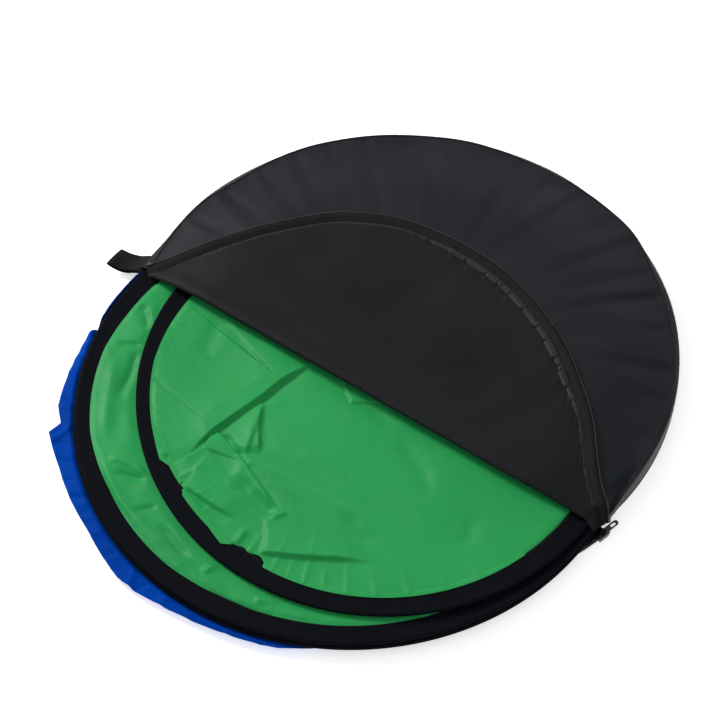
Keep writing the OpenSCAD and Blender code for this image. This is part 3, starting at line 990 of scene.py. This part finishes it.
def make_mound():
    """The upper cloth, one slack sheet inside the upper loop."""
    x, y, share, angle = disc_grid(mound_radius, 380)
    reach = mound_radius(angle)
    inset = (1 - share) * reach
    over = read_off(angle, BULGE)
    rear = window(angle, 30, 150, 12)
    base = np.where(over > 1.5, EDGE_FREE, EDGE_TUCKED)
    base = mix(base, EDGE_REAR, rear)
    base = mix(base, EDGE_UNDER, smooth((angle - 53) / 4) * smooth((108 - angle) / 8))
    open_air = smooth(-y / 60) * 0.6 + 0.4
    crown = GREEN_TOP + 0.6 * ripple(x, y, 150, 31) * open_air + 1.6 * smooth((y + 60) / 80)
    z = base + (crown - base) * rounded(inset / 9)
    fade = smooth(inset / 7)
    rise = 0.0
    for line, height, soft, sharp, side, first, last in FOLDS:
        rise = rise + crease(x, y, line, height, soft, sharp, side, first, last)
    for line, height, width, first, last in PLEATS:
        rise = rise + pleat(x, y, line, height, width, first, last)
    rise = 1.25 * rise
    rise = np.where(rise > RIDGE_LIMIT, RIDGE_LIMIT + (rise - RIDGE_LIMIT) * 0.2, rise)
    rise = rise + 0.30 * ripple(x, y, 52, 33) + 0.10 * ripple(x, y, 20, 34)
    z = z + rise * fade
    for at, height, width, length in MOUND_PUCKERS:
        off = arc_length(angle - at, reach)
        z = z + height * bell(off / width) * np.exp(-inset / length) * smooth(inset / 3)
    hidden = smooth((y - 30) / 40)
    z = mix(z, np.minimum(z, REAR_CEILING), hidden)
    z = np.where((inset > 8) & (rear > 0.5), np.maximum(z, REAR_FLOOR), z)
    short_of_rim = np.clip(upper_outer(angle) - BAND_W - 1.5 - (reach - inset), 0, 12)
    z = np.where(over > 0.4, np.maximum(z, OVER_RIM - 0.3 * short_of_rim), z)
    return np.stack([x, y + DISC_Y, z], -1)


# Folds of the lower cloth in the crescent between the loops
CRESCENT_FOLDS = [
    ([(-274, -20), (-258, -30), (-242, -48)], -2.2, 5, 0.2, 0.3),
    ([(-262, -80), (-235, -64)], -1.6, 4, 0.3, 0.3),
    ([(-237, -72), (-225, -97), (-217, -127), (-208, -144)], -2.4, 5.5, 0.2, 0.35),
    ([(-250, -90), (-240, -115), (-227, -138), (-207, -169), (-185, -192)], 1.5, 7, 0.3, 0.3),
    ([(-176, -206), (-149, -199), (-122, -198)], 1.6, 4.5, 0.2, 0.3),
    ([(-160, -217), (-140, -211), (-120, -204)], -2.2, 4.5, 0.3, 0.3),
    ([(-186, -205), (-160, -225), (-132, -242), (-84, -256), (-45, -264), (-4, -268)], 1.6, 5, 0.2, 0.2),
    ([(-80, -240), (-55, -251), (-23, -262)], -2.0, 5, 0.3, 0.3),
    ([(-4, -266), (6, -241)], 1.8, 4, 0.2, 0.3),
    ([(-110, -246), (-92, -224)], -1.4, 4, 0.2, 0.3),
    ([(60, -262), (84, -246)], 1.4, 4, 0.2, 0.3),
]


# How far the lower cloth bulges out over its loop's inner edge, by angle
LOWER_BULGE = [(0, 0), (172, 0), (188, 3), (199, 7), (222, 7), (238, 2.5), (262, 3), (276, 0.5),
               (300, 1.5), (360, 0)]


def make_crescent():
    """The lower cloth, seen between the loops and hidden further in."""
    rows, columns = 1100, 60
    angle = np.linspace(0, 360, rows, endpoint=False)[:, None]
    over = read_off(angle, LOWER_BULGE)
    outer = MIDDLE_PATH - BAND_W / 2 + 1.0 + over
    rear = (angle > 0) & (angle < 180)
    outer = np.where(rear, np.minimum(outer, back_limit(angle)), outer)
    inner = 150.0
    share = np.linspace(0, 1, columns)[None] ** 0.8
    radius = mix(inner, outer, share)
    turn = np.radians(angle)
    x, y = radius * np.cos(turn), radius * np.sin(turn)
    inset = outer - radius
    cover = upper_outer(angle) - BAND_W
    free = smooth((radius - upper_outer(angle) - 1) / 9) * smooth(inset / 5)
    foot = 17.4 + 1.3 * smooth(over / 2)
    z = foot + (CRESCENT_TOP - foot) * rounded(inset / 8)
    rise = 0.5 * ripple(x, y, 60, 41) + 0.15 * ripple(x, y, 24, 42)
    for line, height, width, first, last in CRESCENT_FOLDS:
        rise = rise + pleat(x, y, line, height, width, first, last)
    dice = np.random.RandomState(4)
    for at in np.arange(176, 372, 7.3):
        at = at + dice.uniform(-2, 2)
        height, width, length = dice.uniform(0.1, 0.6), dice.uniform(2.4, 5.5), dice.uniform(8, 20)
        off = arc_length((angle - at + 180) % 360 - 180, radius)
        rise = rise + height * bell(off / width) * np.exp(-inset / length)
    z = z + (1.5 * rise + 1.0) * free
    z = z - 0.8 * smooth((cover - radius) / 10)
    z = np.where((radius > 275.6) & (over > 1), np.maximum(z, 19.1), z)
    return np.stack([x, y + DISC_Y, z], -1)


def stacked_layers(low, gap, layers, radius, seed):
    """The rest of the folded cloth: flat layers that turn over at one side, inside the coiled hoop."""
    def reach(angle):
        rear = (angle > 0) & (angle < 180)
        return np.where(rear, np.minimum(radius, back_limit(angle)), radius)

    count = 60
    points, faces = [], []
    x, y, _, _ = disc_grid(reach, count)
    wave = 0.25 * ripple(x, y, 90, seed)
    base = 0
    for k in range(layers):
        z = low + k * gap + wave * gap
        points.append(np.stack([x, y + DISC_Y, z], -1).reshape(-1, 3))
        faces.append(grid_faces(count, count, offset=base))
        if k:
            column = 0 if k % 2 else count - 1
            rows = np.arange(count - 1) * count + column
            turn = np.stack([rows, rows + count, rows + count - count * count, rows - count * count], 1)
            faces.append(turn + base)
        base += count * count
    return np.vstack(points), np.vstack(faces)


def make_green():
    mound = make_mound()
    crescent = make_crescent()
    m_rows, m_columns = mound.shape[:2]
    c_rows, c_columns = crescent.shape[:2]
    faces = [grid_faces(m_rows, m_columns)]
    offset = m_rows * m_columns
    faces.append(grid_faces(c_rows, c_columns, wrap_rows=True, offset=offset)[:, ::-1])
    offset += c_rows * c_columns
    inner, inner_faces = stacked_layers(14.9, 0.24, 8, 244.0, 51)
    faces.append(inner_faces + offset)
    points = np.vstack([mound.reshape(-1, 3), crescent.reshape(-1, 3), inner])
    piece = add_mesh("green_cloth", points, np.vstack(faces), GREEN)
    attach(piece, "disc")
    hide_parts("green_panel")


# ---------------------------------------------------------------- blue cloth

# Outline of the blue cloth that has slipped out under the rim: angle and radius about the disc's centre
FRINGE = [(168, 296), (173, 303), (178, 305.2), (187, 305.6), (193.5, 305), (194, 311), (204, 316),
          (213, 321.5), (217.5, 317), (219.5, 330), (228, 323), (236, 321), (243, 318.5), (250, 321),
          (256, 324), (260, 322), (266, 317), (273, 313), (281, 311), (291, 309), (298, 302), (304, 296)]
# Creases that run across the fringe: angle, height, width, and how far they lean
FRINGE_CREASES = [(182, 1.0, 3, 0.2), (194, 2.6, 5, -0.4), (201, -1.4, 5, 0.5), (207, 1.6, 5, 0.6),
                  (213, -1.6, 4, 0.3), (219, 3.0, 5, -0.5), (224, -1.6, 5, 0.4), (228, 2.0, 4, 0.7),
                  (233, -1.5, 4, 0.5), (237, 2.0, 4, 0.8), (243, -1.6, 5, 0.2), (247, 1.6, 5, 0.6),
                  (252, -1.2, 4, 0.3), (257, 2.4, 5, -0.4), (262, -1.4, 4, 0.4), (267, 1.5, 5, 0.3),
                  (274, -1.2, 5, 0.3), (281, 1.5, 5, 0.3), (288, -1.0, 4, 0.3)]


def make_fringe():
    """A limp edge that lies out past the rim and turns back under itself."""
    rows = 900
    angle = np.linspace(170, 302, rows)
    outline = read_off(angle, FRINGE)
    shares = np.concatenate([np.linspace(0, 1, 44), [1.004, 1.0, 0.985, 0.95, 0.9, 0.84]])
    under = np.concatenate([np.zeros(44), [0.35, 0.8, 1.2, 1.5, 1.6, 1.6]])
    grid = np.zeros((rows, len(shares), 3))
    turn = np.radians(angle)
    for k, share in enumerate(shares):
        radius = mix(FRINGE_START, outline, share)
        x, y = radius * np.cos(turn), radius * np.sin(turn)
        past = radius - DISC_R
        swell = 2.8 * smooth((past + 1) / 5) * smooth((outline - radius + 5) / 9)
        z = BLUE_TOP + swell
        fold = 0.0
        for at, height, width, lean in FRINGE_CREASES:
            off = arc_length(angle - at, FRINGE_MIDDLE) + lean * (radius - 300)
            fold = fold + height * bell(off / width)
        z = z + 0.95 * fold * smooth(past / 6)
        z = z + 0.5 * ripple(x, y, 20, 61) * smooth(past / 6)
        from_case = np.hypot(x, y + DISC_Y)
        past_tape = smooth((from_case - TAPE_EDGE_R) / 14)
        floor_gap = mix(OVER_TAPE, OVER_FLOOR, past_tape)
        z = z - 3.0 * smooth((past - 2) / 16) * past_tape
        z = np.maximum(z, np.where(past > 0, floor_gap, 8.9))
        z = np.where(past < 0, np.minimum(z, 9.1), z)
        stand = 8.0 * smooth((share - 0.93) / 0.07) * smooth((193.5 - angle) / 3)
        grid[:, k] = np.stack([x, y + DISC_Y, z + stand - under[k] * smooth(past / 4) * 0.8], 1)
    return grid


def make_blue():
    fringe = make_fringe()
    rows, columns = fringe.shape[:2]
    faces = [grid_faces(rows, columns)[:, ::-1]]
    points = [fringe.reshape(-1, 3)]
    inner, inner_faces = stacked_layers(9.9, 0.42, 10, 262.0, 52)
    faces.append(inner_faces + rows * columns)
    points.append(inner)
    piece = add_mesh("blue_cloth", np.vstack(points), np.vstack(faces), BLUE)
    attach(piece, "disc")
    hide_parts("blue_panel")


# ---------------------------------------------------------------- CAD nodes that are shown

def paint(node, material):
    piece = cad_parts[node]
    piece.data.materials.clear()
    piece.data.materials.append(material)


def soften(node, width):
    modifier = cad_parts[node].modifiers.new("edges", "BEVEL")
    modifier.width = width * MM
    modifier.segments = 3
    modifier.limit_method = "ANGLE"


def paint_metal():
    for node in ("zip_slider_body", "zip_slider_bridge", "zip_pull_tab"):
        paint(node, GUNMETAL)
        soften(node, 0.25)
    paint("lower_zip_stops", STOPS)
    soften("lower_zip_stops", 0.3)
    for node in ("spring_hoop", "hoop_splice_sleeve"):
        paint(node, STEEL)


# ---------------------------------------------------------------- stage

def make_floor():
    s = Shader("pale_floor")
    tone = s.noise(s.turned("Object", 0), 3.0, 2.0)
    s.link(s.ramp(tone, 0.3, 0.7, (0.90, 0.90, 0.90), (0.92, 0.92, 0.92)), s.main.inputs["Base Color"])
    s.set(Roughness=0.9, Specular_IOR_Level=0.05, Emission_Strength=0.52, Emission_Color=(1, 1, 1, 1))
    half = 6000.0
    line = np.linspace(-half, half, 9)
    x, y = np.meshgrid(line, line, indexing="ij")
    grid = np.stack([x, y, np.full(x.shape, -0.3)], -1)
    floor = grid_piece("floor", grid, s.material)


def make_light(name, place, size, power):
    data = bpy.data.lights.new(name, "AREA")
    data.shape = "DISK"
    data.size = size
    data.energy = power
    lamp = bpy.data.objects.new(name, data)
    lamp.location = place
    aim = Vector((0, -0.05, 0)) - Vector(place)
    lamp.rotation_euler = aim.to_track_quat("-Z", "Y").to_euler()
    bpy.context.scene.collection.objects.link(lamp)


def make_camera():
    a = math.radians(VIEW_AZIMUTH)
    e = math.radians(VIEW_ELEVATION)
    back = Vector((math.sin(a) * math.cos(e), -math.cos(a) * math.cos(e), math.sin(e)))
    data = bpy.data.cameras.new("camera")
    data.lens = LENS
    data.sensor_width = 36
    data.clip_end = 50
    camera = bpy.data.objects.new("camera", data)
    camera.location = VIEW_TARGET + back * VIEW_DISTANCE
    camera.rotation_euler = (-back).to_track_quat("-Z", "Y").to_euler()
    bpy.context.scene.collection.objects.link(camera)
    bpy.context.scene.camera = camera


def make_world():
    world = bpy.data.worlds.new("studio")
    world.use_nodes = True
    sky = world.node_tree.nodes["Background"]
    sky.inputs["Color"].default_value = (1, 1, 1, 1)
    sky.inputs["Strength"].default_value = 0.50
    bpy.context.scene.world = world
    bpy.context.scene.view_settings.view_transform = "Standard"


def make_stage():
    make_floor()
    make_light("key", (-2.5, 0.2, 2.1), 1.1, 88)
    make_light("rear", (-0.9, 2.7, 1.1), 1.0, 9)
    make_light("fill", (1.9, -1.6, 2.8), 2.4, 16)
    make_camera()
    make_world()


make_case_bottom()
make_case_top()
make_case_wall()
make_seam_cords()
make_lower_zip()
make_flap()
make_fold_strip()
make_flap_zip()
make_handle()
make_rim()
make_green()
make_blue()
paint_metal()
make_stage()
